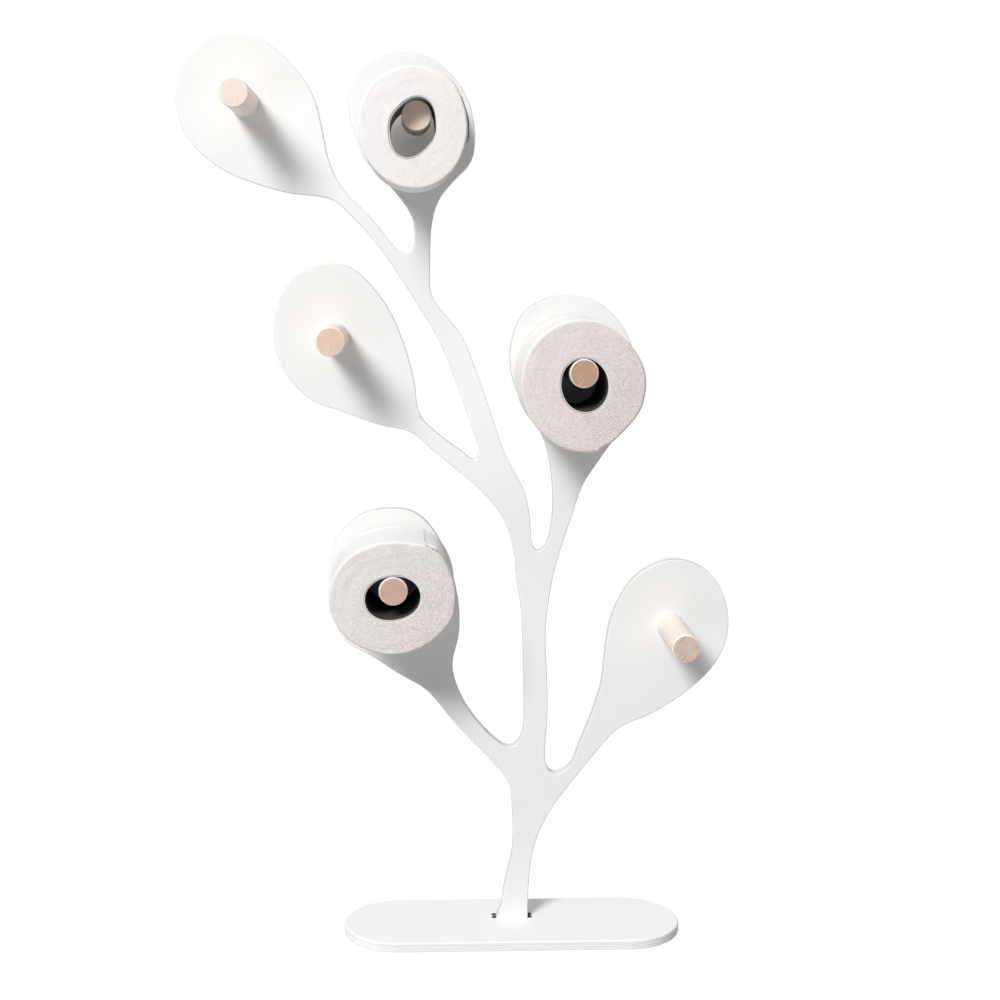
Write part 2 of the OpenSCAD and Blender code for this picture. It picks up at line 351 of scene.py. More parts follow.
# Wound tissue: crinkled turns on the roll's ends, small embossed dots on its side
def buildWoundTissue():
    tree, given, result = newGroup(
        "wound tissue",
        [("Vector", "Vector"), ("Depth", "Float"), ("Dots", "Float")],
        [("Crinkle", "Float"), ("Turns", "Float"), ("Fuzz", "Float"), ("Dot", "Float"),
         ("Cloud", "Float"), ("Speck", "Float")],
    )
    place = given["Vector"]
    parts = addNode(tree, "SeparateXYZ")
    join(tree, place, parts.inputs[0])
    flat = addNode(tree, "CombineXYZ")
    join(tree, parts.outputs[0], flat.inputs[0])
    join(tree, parts.outputs[2], flat.inputs[1])
    unit = addNode(tree, "VectorMath", operation="NORMALIZE")
    join(tree, flat.outputs[0], unit.inputs[0])
    rim = addNode(tree, "SeparateXYZ")
    join(tree, unit.outputs[0], rim.inputs[0])
    # The pattern runs round the roll without a seam, and in and out through its turns
    wound = addNode(tree, "CombineXYZ")
    join(tree, maths(tree, "MULTIPLY", rim.outputs[0], 0.012), wound.inputs[0])
    join(tree, maths(tree, "MULTIPLY", rim.outputs[1], 0.012), wound.inputs[1])
    join(tree, given["Depth"], wound.inputs[2])
    along = stretchedNoise(tree, wound.outputs[0], (1, 1, 1), 900.0, 3.0, 0.65, 0.6)
    loose = stretchedNoise(tree, place, (0.6, 1, 1), 1000.0, 3.0, 0.7, 1.2)
    crinkle = maths(tree, "ADD", maths(tree, "MULTIPLY", along, 0.3),
                    maths(tree, "MULTIPLY", loose, 0.7))
    join(tree, crinkle, result["Crinkle"])
    join(tree, stretchedNoise(tree, place, (1, 1, 1), 900.0, 2.0, 0.7, 0.4),
         result["Speck"])
    drift = stretchedNoise(tree, wound.outputs[0], (1, 1, 1), 300.0, 2.0)
    turns = maths(tree, "ADD", maths(tree, "MULTIPLY", given["Depth"], 9000.0),
                  maths(tree, "MULTIPLY", drift, 14.0))
    join(tree, rangeOf(tree, maths(tree, "SINE", turns), -1.0, 1.0), result["Turns"])
    join(tree, stretchedNoise(tree, place, (1, 1, 1), 1500.0, 4.0, 0.65), result["Fuzz"])
    angle = maths(tree, "ARCTAN2", parts.outputs[2], parts.outputs[0])
    aroundRoll = maths(tree, "COSINE", maths(tree, "MULTIPLY", angle, given["Dots"]))
    alongRoll = maths(tree, "COSINE", maths(tree, "MULTIPLY", parts.outputs[1], 1300.0))
    dot = rangeOf(tree, maths(tree, "MULTIPLY", aroundRoll, alongRoll), 0.25, 0.9)
    join(tree, dot, result["Dot"])
    join(tree, stretchedNoise(tree, place, (1, 1, 1), 42.0, 2.0), result["Cloud"])
    return tree


paintSkin = buildPaintSkin()
plyEdge = buildPlyEdge()
beechGrain = buildBeechGrain()
woundTissue = buildWoundTissue()


# Satin white paint. The plywood's layers show through it where it was cut.
paint = {
    # The cut edges get a duller grey, painted shade for their dark lines
    "edge": (0.74, 0.73, 0.715, 1.0),
    "plyShade": (0.62, 0.60, 0.58, 1.0),
    # The slot's walls get a near black, painted shade in the slot's reliefs
    "slotShade": (0.13, 0.11, 0.09, 1.0), "slotFade": 0.001,
    "roughness": (0.38, 0.5),
}


def paintedPly(name, axis, depthStart, look):
    material, tree, shader = newMaterial(name)
    place, normal = centredPlace(tree, (0.0, 0.0, 0.0))
    skin = placeGroup(tree, paintSkin, {"Stipple": 620.0, "Grain": 240.0}, {"Vector": place})
    parts = addNode(tree, "SeparateXYZ")
    join(tree, place, parts.inputs[0])
    depth = maths(tree, "SUBTRACT", parts.outputs[axis], depthStart)
    edge = placeGroup(
        tree, plyEdge, {"Ply": look["ply"]}, {"Vector": place, "Depth": depth}
    )
    cut = rangeOf(tree, facingAlong(tree, normal, axis), 0.92, 0.5)
    line = maths(tree, "MULTIPLY", edge["Line"], cut)
    tone = mixColours(tree, skin["Cloud"], look["colour"], look["shade"])
    # The cut edges are painted a duller grey, painted shade for the dark lines along them
    tone = mixColours(tree, maths(tree, "MULTIPLY", cut, look["dull"]), tone, paint["edge"])
    lineShare = maths(tree, "MULTIPLY", line, look["lines"])
    tone = mixColours(tree, lineShare, tone, paint["plyShade"])
    if "slotHalf" in look:
        # The slot's walls are painted dark, painted shade down in the slot and its reliefs
        shadedSlot = cut
        for side, half in zip((0, 1), look["slotHalf"]):
            off = maths(tree, "ABSOLUTE", parts.outputs[side])
            inside = rangeOf(tree, off, half, half - paint["slotFade"])
            shadedSlot = maths(tree, "MULTIPLY", shadedSlot, inside)
        tone = mixColours(tree, shadedSlot, tone, paint["slotShade"])
    join(tree, tone, shader.inputs["Base Color"])
    join(tree, rangeOf(tree, skin["Height"], 0.3, 0.7, *paint["roughness"]),
         shader.inputs["Roughness"])
    shader.inputs["Specular IOR Level"].default_value = 0.4
    layered = maths(tree, "MULTIPLY", maths(tree, "MULTIPLY", edge["Height"], cut), 2.5)
    bumpInto(tree, shader, maths(tree, "ADD", skin["Height"], layered), 0.25, 0.0001)
    return material


# The tree panel, cut from one sheet, its edges eased with a router
panel = {
    "easing": 0.0011, "segments": 4, "holeRoom": 0.012, "footRoom": 0.001,
    "ply": 0.00133, "lines": 0.25, "dull": 1.0,
    "colour": (0.86, 0.852, 0.842, 1.0), "shade": (0.835, 0.825, 0.812, 1.0),
}


def buildTreePanel():
    low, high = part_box("tree_panel")
    screwPlaces = [sum(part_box(node), Vector()) / 2 for node in dowel["pieces"]]
    piece = copyOfNode("tree_panel", "treePanel")

    def rimEdge(edge):
        middle = middleOf(edge)
        onFace = min(abs(middle.y - low.y), abs(middle.y - high.y)) < sameSpot
        flat = abs(edge.verts[0].co.y - edge.verts[1].co.y) < sameSpot
        clear = all(
            roundFrom(place, middle)[1] > panel["holeRoom"] for place in screwPlaces
        )
        aboveFoot = middle.z > low.z + panel["footRoom"]
        return onFace and flat and clear and isCorner(edge) and aboveFoot

    startEditing(piece)
    selectEdges(piece, rimEdge)
    easeEdges(panel["easing"], panel["segments"])
    stopEditing()
    smoothSkin(piece, 42)
    dress(piece, paintedPly("painted ply panel", 1, low.y, panel))
    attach(piece, "holder")
    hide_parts("tree_panel")
    print("tree panel:", len(piece.data.polygons), "faces")


# The base, with the two glue lines that show in its front edge cut as shallow grooves
base = {
    "topEasing": 0.0016, "topSegments": 3,
    "bottomEasing": 0.0006, "bottomSegments": 2,
    "glueLines": (0.0022, 0.0046), "groove": 0.0004, "grooveDepth": 0.00045,
    "ply": 0.0015, "lines": 0.3, "dull": 0.3, "slotHalf": (0.024, 0.022),
    "colour": (0.93, 0.926, 0.918, 1.0), "shade": (0.912, 0.907, 0.898, 1.0),
}


def buildBasePlate():
    low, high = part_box("base_plate")
    piece = copyOfNode("base_plate", "basePlate")
    slotX, slotY = base["slotHalf"]

    def outside(point):
        return abs(point.x) > slotX or abs(point.y) > slotY

    def rimEdge(edge, height):
        level = all(abs(vert.co.z - height) < sameSpot for vert in edge.verts)
        return level and isCorner(edge) and outside(middleOf(edge))

    startEditing(piece)
    selectEdges(piece, lambda edge: rimEdge(edge, high.z))
    easeEdges(base["topEasing"], base["topSegments"])
    selectEdges(piece, lambda edge: rimEdge(edge, low.z))
    easeEdges(base["bottomEasing"], base["bottomSegments"])
    for line in base["glueLines"]:
        for step in (-base["groove"], 0.0, base["groove"]):
            bpy.ops.mesh.select_all(action="SELECT")
            bpy.ops.mesh.bisect(plane_co=(0, 0, line + step), plane_no=(0, 0, 1))
        selectEdges(
            piece,
            lambda edge: all(
                abs(vert.co.z - line) < sameSpot and outside(vert.co)
                for vert in edge.verts
            ),
        )
        bpy.ops.transform.shrink_fatten(value=-base["grooveDepth"])
    stopEditing()
    smoothSkin(piece, 38)
    dress(piece, paintedPly("painted ply base", 2, low.z, base))
    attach(piece, "holder")
    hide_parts("base_plate")
    print("base plate:", len(piece.data.polygons), "faces")


# The pegs are cut from one dowel but differ a little in colour, as beech does. The saw
# left its marks across their ends, pale on some and dark on others.
dowel = {
    "sides": 96, "easing": 0.0014, "segments": 5, "pilotRadius": 0.00205,
    "pilotDepth": 0.0243, "sideTone": (0.93, 0.835, 0.75, 1), "coat": 0.4,
    "rimTone": (0.95, 0.87, 0.79, 1), "endTurns": 2, "turnShare": 0.3,
    "pieces": {
        "peg_top_left": {
            "tone": (0.88, 0.765, 0.67, 1), "saw": 1.5, "marks": 0.25, "paleMarks": 0.0,
            "pith": (0.03, 0, 0.05),
        },
        "peg_top_middle": {
            "tone": (0.92, 0.78, 0.65, 1), "saw": 2.1, "marks": 0.2, "paleMarks": 1.0,
            "pith": (-0.04, 0, 0.03),
        },
        "peg_middle_left": {
            "tone": (0.755, 0.56, 0.435, 1), "saw": 1.3, "marks": 0.55, "paleMarks": 1.0,
            "pith": (0.05, 0, -0.02),
        },
        "peg_middle_right": {
            "tone": (0.475, 0.3, 0.217, 1), "saw": 0.75, "marks": 0.8, "paleMarks": 1.0,
            "pith": (0.02, 0, 0.06),
        },
        "peg_lower_left": {
            "tone": (0.575, 0.385, 0.296, 1), "saw": 1.7, "marks": 0.3, "paleMarks": 1.0,
            "pith": (-0.06, 0, 0.01),
        },
        "peg_lower_right": {
            "tone": (0.645, 0.515, 0.445, 1), "saw": 0.85, "marks": 1.0, "paleMarks": 0.0,
            "pith": (0.01, 0, -0.05),
        },
    },
}


def beech(name, centre, look):
    material, tree, shader = newMaterial(name)
    place, normal = centredPlace(tree, centre)
    grain = placeGroup(
        tree, beechGrain, {"Pith": look["pith"], "Saw": look["saw"]}, {"Vector": place}
    )
    tone = look["tone"]
    sideTone = dowel["sideTone"]
    dark = tinted(tone, (0.88, 0.82, 0.76))
    deep = tinted(tone, (0.58, 0.48, 0.43))
    pale = tinted(tone, (1.6, 1.6, 1.6), 0.92)
    streak = tinted(sideTone, (0.95, 0.91, 0.88))
    side = mixColours(tree, rangeOf(tree, grain["Streak"], 0.35, 0.7), sideTone, streak)
    side = mixColours(tree, maths(tree, "MULTIPLY", grain["Fleck"], 0.3), side, dark)
    end = mixColours(tree, maths(tree, "MULTIPLY", grain["Ring"], 0.14), tone, dark)
    end = mixColours(tree, maths(tree, "MULTIPLY", grain["Pore"], 0.3), end, deep)
    mark = pale if look["paleMarks"] else deep
    markShare = maths(tree, "MULTIPLY", grain["Scratch"], look["marks"])
    end = mixColours(tree, markShare, end, mark)
    # The rounded rim between end and side is sanded paler
    facing = facingAlong(tree, normal, 1)
    sawn = rangeOf(tree, facing, 0.9, 0.985)
    rim = rangeOf(tree, facing, 0.1, 0.35)
    side = mixColours(tree, rim, side, dowel["rimTone"])
    join(tree, mixColours(tree, sawn, side, end), shader.inputs["Base Color"])
    join(tree, rangeOf(tree, grain["Streak"], 0.3, 0.7, 0.5, 0.68),
         shader.inputs["Roughness"])
    shader.inputs["Specular IOR Level"].default_value = 0.35
    # The turned side is waxed, so it mirrors the white leaf where it is seen along it
    join(tree, rangeOf(tree, sawn, 0.0, 1.0, dowel["coat"], 0.0),
         shader.inputs["Coat Weight"])
    shader.inputs["Coat Roughness"].default_value = 0.3
    endHeight = maths(tree, "SUBTRACT", maths(tree, "MULTIPLY", grain["Ring"], 0.2),
                      maths(tree, "ADD", grain["Pore"], grain["Scratch"]))
    height = maths(tree, "ADD", maths(tree, "MULTIPLY", endHeight, sawn), grain["Streak"])
    bumpInto(tree, shader, height, 0.3, 0.00012)
    return material


def shapePeg(low, high):
    centre = (low + high) / 2
    radius = (high.x - low.x) / 2
    piece = forwardCylinder("peg", dowel["sides"], radius, high.y - low.y, centre)
    startEditing(piece)
    # The pilot hole for the screw
    selectFaces(piece, lambda face: face.normal.y > 0.9)
    bpy.ops.mesh.inset(thickness=radius - dowel["pilotRadius"])
    bpy.ops.mesh.extrude_region_move(
        TRANSFORM_OT_translate={"value": (0, -dowel["pilotDepth"], 0)}
    )
    # Turns of faces across the front end, and its eased rim
    selectFaces(piece, lambda face: face.normal.y < -0.9)
    for turn in range(dowel["endTurns"]):
        bpy.ops.mesh.inset(thickness=radius * dowel["turnShare"])
    selectEdges(piece, lambda edge: all(
        abs(vert.co.y - low.y) < sameSpot
        and abs(roundFrom(centre, vert.co)[1] - radius) < sameSpot
        for vert in edge.verts
    ))
    easeEdges(dowel["easing"], dowel["segments"])
    stopEditing()
    smoothSkin(piece, 42)
    return piece


def buildPegs():
    first = None
    for node, look in dowel["pieces"].items():
        low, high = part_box(node)
        centre = (low + high) / 2
        if first is None:
            first = piece = shapePeg(low, high)
            firstCentre = centre
        else:
            piece = first.copy()
            piece.data = first.data.copy()
            scene.collection.objects.link(piece)
            piece.data.transform(Matrix.Translation(centre - firstCentre))
        key = node.removeprefix("peg_")
        piece.name = nameWith("peg", key)
        piece.data.name = piece.name
        dress(piece, beech("beech " + key.replace("_", " "), centre, look))
        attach(piece, "holder")
        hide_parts(node)
    print("pegs:", len(dowel["pieces"]))


# The screws behind the pegs keep their CAD shape and get bright zinc
zinc = {"colour": (0.62, 0.62, 0.6, 1), "dull": (0.42, 0.42, 0.41, 1)}


def dressScrews():
    material, tree, shader = newMaterial("zinc plated steel")
    place = centredPlace(tree, (0.0, 0.0, 0.0))[0]
    cloud = stretchedNoise(tree, place, (1, 1, 1), 500.0, 3.0)
    join(tree, mixColours(tree, rangeOf(tree, cloud, 0.35, 0.7), zinc["colour"],
                          zinc["dull"]), shader.inputs["Base Color"])
    turned = stretchedNoise(tree, place, (1, 0.1, 1), 2500.0, 2.0)
    join(tree, rangeOf(tree, turned, 0.3, 0.7, 0.28, 0.45), shader.inputs["Roughness"])
    shader.inputs["Metallic"].default_value = 1.0
    bumpInto(tree, shader, turned, 0.15, 0.00005)
    for slot in cadNodes["peg_screws"].material_slots:
        slot.material = material
    print("screws dressed")


# The rolls. Angles go round from the roll's right side upwards, in degrees. The tube
# is oval, widest along its long way, and creased at that way's ends. The outside is a
# little oval and lobed, with flats and bulges, each given by its middle, half its width
# and its height. At the tail the outermost sheet ends, and woundBack turns its step
# round. The tint for a face's lower right paints shade there, darker and a little pink.
# Grain says how strongly the painted shade and highlights of a face's crinkles, turns
# and pits show, dots how many embossed dots go round the side and card how dark the
# tube's card is painted, so dark on the lower two rolls that it is painted shade inside
# their tubes.
rolls = {
    "top_middle": {
        "tubeInside": 0.0212, "tubeSquash": 0.145, "crease": 0.04, "longWay": 69,
        "size": 0.094, "oval": 0.051, "flats": ((52, 30, 0.0018),), "tail": 349,
        "sheetStep": 0.0004, "woundBack": False,
        "face": (0.915, 0.897, 0.887, 1), "side": (0.88, 0.875, 0.87, 1), "seed": 3.1,
        "shadeTint": (0.95, 0.93, 0.92), "grain": 0.3, "dots": 65.0, "card": 0.5,
    },
    "middle_right": {
        "tubeInside": 0.0215, "tubeSquash": 0.065, "crease": 0.0, "longWay": 100,
        "size": 0.108, "oval": 0.031, "flats": ((52, 48, -0.0032), (-46, 30, -0.0024)),
        "tail": 284, "sheetStep": 0.0022, "woundBack": True,
        "face": (0.82, 0.765, 0.745, 1), "side": (0.88, 0.875, 0.87, 1), "seed": 7.7,
        "shadeTint": (0.9, 0.865, 0.87), "grain": 0.95, "dots": 75.0, "card": 0.08,
    },
    "lower_left": {
        "tubeInside": 0.0215, "tubeSquash": 0.12, "crease": 0.0, "longWay": 9,
        "size": 0.104, "oval": -0.054, "flats": ((48, 30, 0.0024), (-18, 25, 0.001)),
        "tail": 58, "sheetStep": 0.0006, "woundBack": False,
        "face": (0.82, 0.79, 0.77, 1), "side": (0.88, 0.875, 0.87, 1), "seed": 12.4,
        "shadeTint": (0.943, 0.88, 0.893), "grain": 0.8, "dots": 72.0, "card": 0.08,
    },
}
# Each wave says how far a surface strays. Its rate is the noise's scale, first round the
# roll and then for a millimetre of turns or, on the side, a metre of length.
winding = {
    "tubeWall": 0.0008, "paperGap": 0.00005, "lobe": 0.008, "ovalLean": 6,
    "lobeLean": 40, "sides": 300, "outerEasing": 0.0024, "innerEasing": 0.0006,
    "outerSegments": 5, "innerSegments": 2, "rimRoom": 1.1, "cuts": 13,
    "faceWave": 0.0003, "turnWave": 0.0001, "edgeWave": 0.0005, "sideWave": 0.0003,
    "backWave": 0.0001, "faceRate": (2.2, 0.16), "turnRate": (1.4, 0.9),
    "backRate": (3, 0.5), "edgeRate": 3.4, "sideRate": (2.5, 14), "edgePower": 6,
    "endGap": 0.00045, "backRim": 0.0015, "frontRim": 0.002, "tailShy": 0.2,
    "tubeShare": 0.4, "sideShare": 0.9,
}


def cosDegrees(angle):
    return math.cos(math.radians(angle))


def turnsApart(first, second):
    # The smaller angle between two directions
    return abs((first - second + 180) % 360 - 180)


def tubeInside(roll, angle):
    off = angle - roll["longWay"]
    squash = roll["tubeSquash"] * cosDegrees(2 * off)
    return roll["tubeInside"] * (1 + squash + roll["crease"] * cosDegrees(4 * off))


def paperStart(roll, angle):
    return tubeInside(roll, angle) + winding["tubeWall"] + winding["paperGap"]


def paperEnd(roll, angle):
    oval = roll["oval"] * cosDegrees(2 * (angle - winding["ovalLean"]))
    lobe = winding["lobe"] * cosDegrees(3 * (angle - winding["lobeLean"]))
    past = ((angle - roll["tail"]) % 360) / 360
    step = roll["sheetStep"] * (past if roll["woundBack"] else 1 - past)
    reach = roll["size"] / 2 * (1 - oval + lobe) + step
    for middle, halfWidth, height in roll["flats"]:
        off = turnsApart(angle, middle) / halfWidth
        if off < 1:
            reach += height * cosDegrees(90 * off) ** 2
    return reach


def rollPlace(key):
    # The roll's middle, front and back
    low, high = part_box("inner_paper_" + key)
    return (low + high) / 2, low.y, high.y


def tissue(name, centre, roll):
    material, tree, shader = newMaterial(name)
    place, normal = centredPlace(tree, centre)
    depth = addNode(tree, "Attribute", attribute_name="windDepth")
    paper = placeGroup(
        tree, woundTissue, {"Dots": roll["dots"]},
        {"Vector": place, "Depth": depth.outputs["Fac"]},
    )
    onEnd = rangeOf(tree, facingAlong(tree, normal, 1), 0.45, 0.85)
    face = roll["face"]
    # Tones for painted shade in the face's creases and pits, and for painted highlights on
    # its ridges
    creaseShade = tinted(face, (0.72, 0.69, 0.69))
    pitShade = tinted(face, (0.62, 0.6, 0.6))
    shadedFace = tinted(face, roll["shadeTint"])
    bright = tinted(face, (1.1, 1.1, 1.1), 0.95)
    grain = roll["grain"]
    # The face is painted darker and pinker towards its lower right, painted shade mixed with
    # random patches, and its painted crinkles show more strongly there
    parts = addNode(tree, "SeparateXYZ")
    join(tree, place, parts.inputs[0])
    across = maths(tree, "SUBTRACT", parts.outputs[0],
                   maths(tree, "MULTIPLY", parts.outputs[2], 0.5))
    patchy = rangeOf(tree, paper["Cloud"], 0.3, 0.7, -0.3, 0.3)
    share = maths(tree, "ADD", rangeOf(tree, across, -0.035, 0.045), patchy)
    end = mixColours(tree, share, face, shadedFace)
    rough = rangeOf(tree, across, -0.04, 0.04, grain * 0.6, min(grain * 1.3, 1.0))
    # The crinkles' dents are painted in shade and their ridges painted as highlights; the
    # lines between the turns and the dark specks in pits are painted shade too
    shadedDents = rangeOf(tree, paper["Crinkle"], 0.5, 0.43)
    end = mixColours(tree, maths(tree, "MULTIPLY", shadedDents, rough), end, creaseShade)
    litRidges = rangeOf(tree, paper["Crinkle"], 0.52, 0.59)
    end = mixColours(tree, maths(tree, "MULTIPLY", litRidges, rough), end, bright)
    end = mixColours(tree, maths(tree, "MULTIPLY", paper["Turns"], 0.08 * grain), end, creaseShade)
    end = mixColours(tree, rangeOf(tree, paper["Speck"], 0.34, 0.27, 0.0, grain), end,
                     pitShade)
    join(tree, mixColours(tree, onEnd, roll["side"], end), shader.inputs["Base Color"])
    shader.inputs["Roughness"].default_value = 0.95
    shader.inputs["Specular IOR Level"].default_value = 0.1
    shader.inputs["Sheen Weight"].default_value = 0.15
    shader.inputs["Sheen Roughness"].default_value = 0.6
    wavy = maths(tree, "ADD", paper["Crinkle"], maths(tree, "MULTIPLY", paper["Turns"], 0.25))
    onSide = maths(tree, "ADD", maths(tree, "MULTIPLY", paper["Dot"], 0.35),
                   maths(tree, "MULTIPLY", paper["Fuzz"], 0.2))
    height = addNode(tree, "Mix", data_type="FLOAT")
    join(tree, onEnd, height.inputs[0])
    join(tree, onSide, height.inputs[2])
    join(tree, wavy, height.inputs[3])
    bumpInto(tree, shader, height.outputs[0], 0.5, 0.0006)
    return material


def turnNoise(rate, swing, depth, seed):
    # Noise that closes on itself round the roll and changes from turn to turn
    around, inward = rate
    return noise.noise(Vector((swing.x * around, swing.z * around, depth * inward + seed)))


def writeDepth(piece, roll, centre):
    # How far out through the turns each point lies, for the pattern on the ends
    attribute = piece.data.attributes.new("windDepth", "FLOAT", "POINT")
    for vert, value in zip(piece.data.vertices, attribute.data):
        angle, away = roundFrom(centre, vert.co)
        start, end = paperStart(roll, angle), paperEnd(roll, angle)
        share = (away - start) / (end - start)
        value.value = share * (roll["size"] / 2 - roll["tubeInside"])


def roundRing(name, key, inner, outer, turns, startEasing, endEasing):
    # A straight round ring with turns of faces on its ends and eased rims
    centre, front, back = rollPlace(key)
    length = back - front
    piece = forwardCylinder(name, winding["sides"], outer, length, centre)

    def rim(edge, radius):
        # The edges round both ends, without those that run from end to end
        onRadius = all(
            abs(roundFrom(centre, vert.co)[1] - radius) < sameSpot for vert in edge.verts
        )
        middle = middleOf(edge).y
        return onRadius and min(abs(middle - front), abs(middle - back)) < sameSpot

    startEditing(piece)
    selectFaces(piece, lambda face: abs(face.normal.y) > 0.9)
    firstStep = endEasing * winding["rimRoom"]
    if firstStep:
        bpy.ops.mesh.inset(thickness=firstStep, use_individual=True)
    for turn in range(turns):
        bpy.ops.mesh.inset(
            thickness=(outer - firstStep - inner) / turns, use_individual=True
        )
    bpy.ops.mesh.delete(type="FACE")
    selectEdges(piece, lambda edge: edge.is_boundary)
    bpy.ops.mesh.bridge_edge_loops()
    bpy.ops.mesh.select_all(action="SELECT")
    bpy.ops.mesh.normals_make_consistent(inside=False)
    if endEasing:
        selectEdges(piece, lambda edge: rim(edge, outer))
        easeEdges(endEasing, winding["outerSegments"])
    if startEasing:
        selectEdges(piece, lambda edge: rim(edge, inner))
        easeEdges(startEasing, winding["innerSegments"])
    # The edges that run from end to end
    selectEdges(
        piece,
        lambda edge: abs(edge.verts[0].co.y - edge.verts[1].co.y) > length / 2,
    )
    bpy.ops.mesh.subdivide(number_cuts=winding["cuts"])
    stopEditing()
    return piece


def pressRing(piece, key, start, end, startEased, endEased):
    # Presses the round ring into the roll's own form, point by point
    roll = rolls[key]
    centre, front, back = rollPlace(key)
    inner, outer = start(0, True), end(0, True)
    column = 360 / winding["sides"]
    for vert in piece.data.vertices:
        angle, away = roundFrom(centre, vert.co)
        angle %= 360
        # The column next to the tail stands right under it, so that the step is steep
        if (angle - roll["tail"]) % 360 > 360 - column * 1.01:
            angle = roll["tail"] - winding["tailShy"]
        share = (away - inner) / (outer - inner)
        reach = start(angle, False) + share * (end(angle, False) - start(angle, False))
        turn = math.radians(angle)
        swing = Vector((math.cos(turn), 0, math.sin(turn)))
        # In millimetres out through the turns
        depth = (reach - paperStart(roll, angle)) / 0.001
        seed = roll["seed"]
        if vert.co.y < centre.y:
            nearEnd = max(0.0, 1 - (vert.co.y - front) / (3 * winding["outerEasing"]))
            wave = turnNoise(winding["faceRate"], swing, depth, seed)
            ripple = turnNoise(winding["turnRate"], swing, depth, seed)
            pushed = winding["faceWave"] * wave + winding["turnWave"] * ripple
            if endEased:
                around = winding["edgeRate"]
                frayed = noise.noise(Vector((swing.x * around, seed, swing.z * around)))
                pushed += (
                    winding["edgeWave"] * frayed * max(0.0, share) ** winding["edgePower"]
                )
            vert.co.y += nearEnd * pushed
        elif vert.co.y > back - winding["backRim"]:
            ripple = turnNoise(winding["backRate"], swing, depth, seed)
            vert.co.y -= winding["backWave"] * (1 + ripple)
        nearTube = share < winding["tubeShare"]
        if startEased and nearTube and vert.co.y < front + winding["frontRim"]:
            # The paper parts from the tube's end below, where the roll's weight opens it
            reach += winding["endGap"] * (1 - share) * max(0.1, -swing.z)
        if endEased and share > winding["sideShare"]:
            around, along = winding["sideRate"]
            dent = noise.noise(Vector((
                swing.x * around, vert.co.y * along, swing.z * around + seed
            )))
            reach += winding["sideWave"] * dent
        vert.co.x = centre.x + swing.x * reach
        vert.co.z = centre.z + swing.z * reach


def paperRing(name, key, start, end, turns, startEasing, endEasing):
    piece = roundRing(
        name, key, start(0, True), end(0, True), turns, startEasing, endEasing
    )
    pressRing(piece, key, start, end, startEasing > 0, endEasing > 0)
    writeDepth(piece, rolls[key], rollPlace(key)[0])
    makeActive(piece)
    bpy.ops.object.shade_smooth_by_angle(angle=math.radians(50))
    return piece


def buildPaper():
    for key, roll in rolls.items():
        low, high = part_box("inner_paper_" + key)
        # The inner paper's radius, at which the outer paper turns about it
        turnRadius = (high.x - low.x) / 2
        material = tissue("tissue " + key.replace("_", " "), rollPlace(key)[0], roll)
        plainStart = roll["tubeInside"] + winding["tubeWall"]

        def tubeSide(angle, plain):
            return plainStart if plain else paperStart(roll, angle)

        def meeting(angle, plain):
            return turnRadius

        def meetingOuter(angle, plain):
            return turnRadius + winding["paperGap"]

        def outside(angle, plain):
            return roll["size"] / 2 if plain else paperEnd(roll, angle)

        innerPaper = paperRing(
            nameWith("innerPaper", key), key, tubeSide, meeting, 4,
            winding["innerEasing"], 0.0,
        )
        outerPaper = paperRing(
            nameWith("outerPaper", key), key, meetingOuter, outside, 20,
            0.0, winding["outerEasing"],
        )
        for piece, body, node in (
            (innerPaper, "tube_" + key, "inner_paper_" + key),
            (outerPaper, "roll_" + key, "roll_" + key),
        ):
            dress(piece, material)
            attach(piece, body)
            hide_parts(node)
        print("paper", key, len(innerPaper.data.polygons), len(outerPaper.data.polygons))


# The tubes: grey card wound in a spiral
card = {
    "tone": (1.0, 0.94, 0.88), "fibre": 0.75, "seam": 0.55,
    "cut": (0.82, 0.8, 0.78, 1), "pitch": 0.062, "sides": 160, "rimEasing": 0.00015,
    "rimWave": 0.00012, "raggedRate": 6, "recess": 0.0007,
}


def tubeCard(name, centre, shade):
    material, tree, shader = newMaterial(name)
    place, normal = centredPlace(tree, centre)
    parts = addNode(tree, "SeparateXYZ")
    join(tree, place, parts.inputs[0])
    angle = maths(tree, "ARCTAN2", parts.outputs[2], parts.outputs[0])
    turn = maths(tree, "DIVIDE", angle, 2 * math.pi)
    climb = maths(tree, "DIVIDE", parts.outputs[1], card["pitch"])
    # Whole turns are added so that no part of the spiral is below zero
    turns = maths(tree, "ADD", maths(tree, "ADD", turn, climb), 10.0)
    spiral = maths(tree, "FRACT", turns)
    off = maths(tree, "ABSOLUTE", maths(tree, "SUBTRACT", spiral, 0.5))
    seam = rangeOf(tree, off, 0.012, 0.006)
    fibre = stretchedNoise(tree, place, (1, 1, 1), 900.0, 4.0, 0.65, 0.6)
    # The card is darkened by shade; on the lower two rolls almost to black, painted shade
    # deep inside their tubes
    colour = tinted(card["tone"], (shade,) * 3)
    fibred = tinted(colour, (card["fibre"],) * 3)
    seamed = tinted(colour, (card["seam"],) * 3)
    tone = mixColours(tree, rangeOf(tree, fibre, 0.35, 0.65), fibred, colour)
    tone = mixColours(tree, seam, tone, seamed)
    cut = rangeOf(tree, facingAlong(tree, normal, 1), 0.3, 0.7)
    join(tree, mixColours(tree, cut, tone, card["cut"]), shader.inputs["Base Color"])
    shader.inputs["Roughness"].default_value = 0.85
    shader.inputs["Specular IOR Level"].default_value = 0.2
    bumpInto(tree, shader, maths(tree, "SUBTRACT", fibre, seam), 0.3, 0.0002)
    return material


